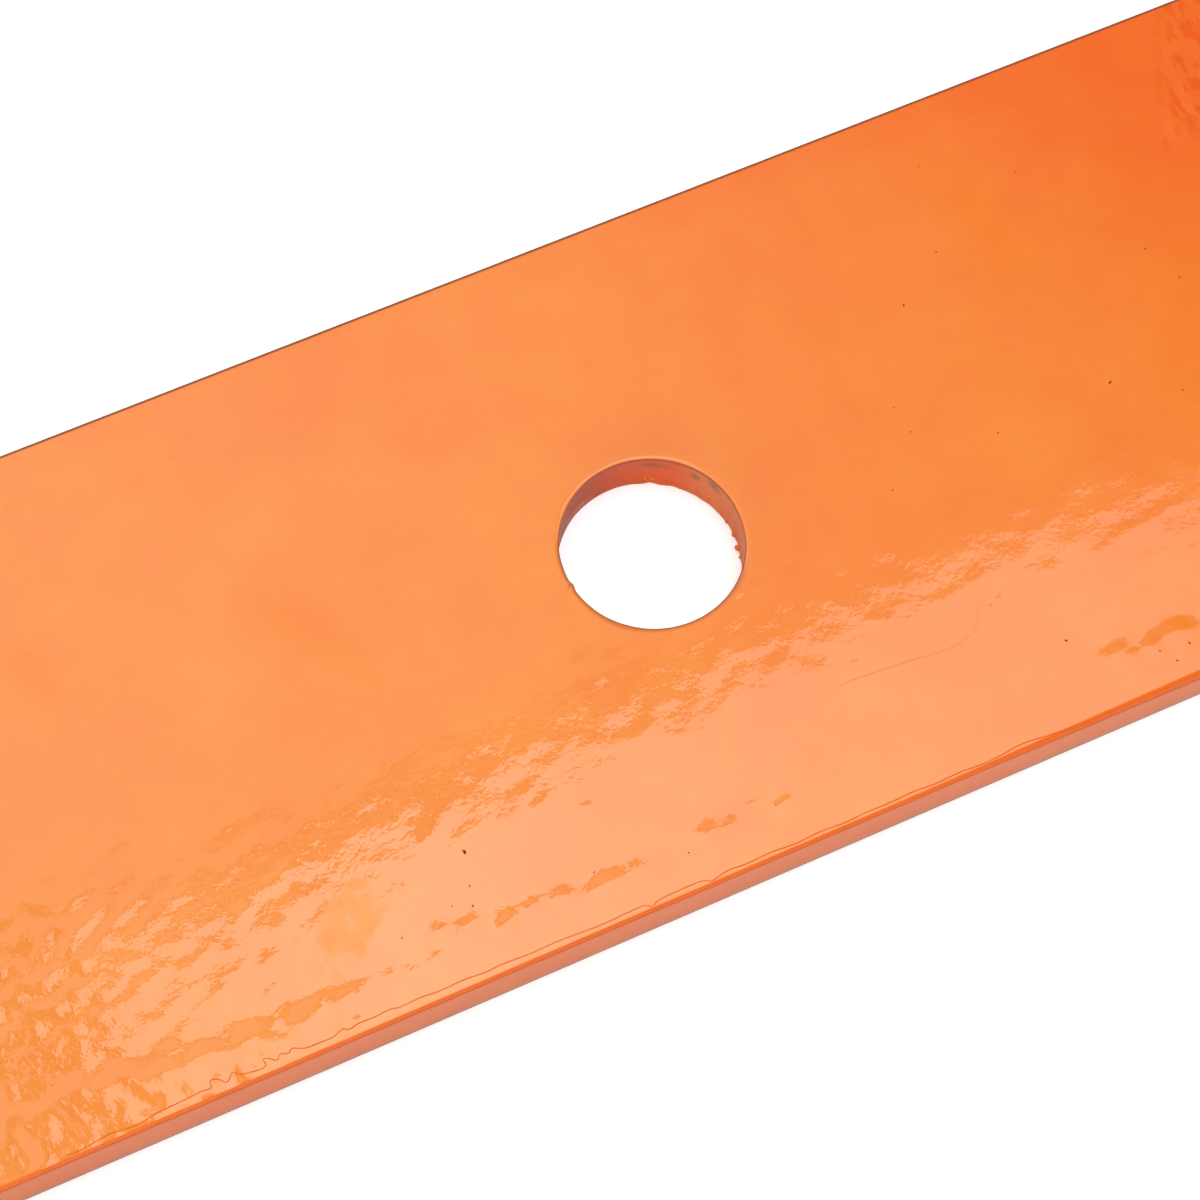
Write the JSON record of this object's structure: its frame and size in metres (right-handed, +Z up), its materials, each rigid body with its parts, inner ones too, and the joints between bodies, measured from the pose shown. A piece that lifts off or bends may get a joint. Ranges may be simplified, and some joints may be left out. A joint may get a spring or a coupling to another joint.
{
  "type": "rotary mower blade",
  "caption": "Flat painted steel blade for a rotary mower, with a centre hole for its spindle and a ground cutting edge on the leading side of each end.",
  "frame": {"origin": "on the axis of the centre hole, at the blade's underside", "axes": "+X along the blade, +Y across it, +Z up out of the top face; seen from above the blade turns clockwise, so its +X half cuts along the -Y edge"},
  "size_m": [0.52, 0.0752, 0.0062],
  "materials": {
    "orange_paint": "thick glossy orange paint over steel, with orange peel and runs"
  },
  "bodies": {
    "root": {"mower_blade": "orange_paint"}
  },
  "joints": []
}
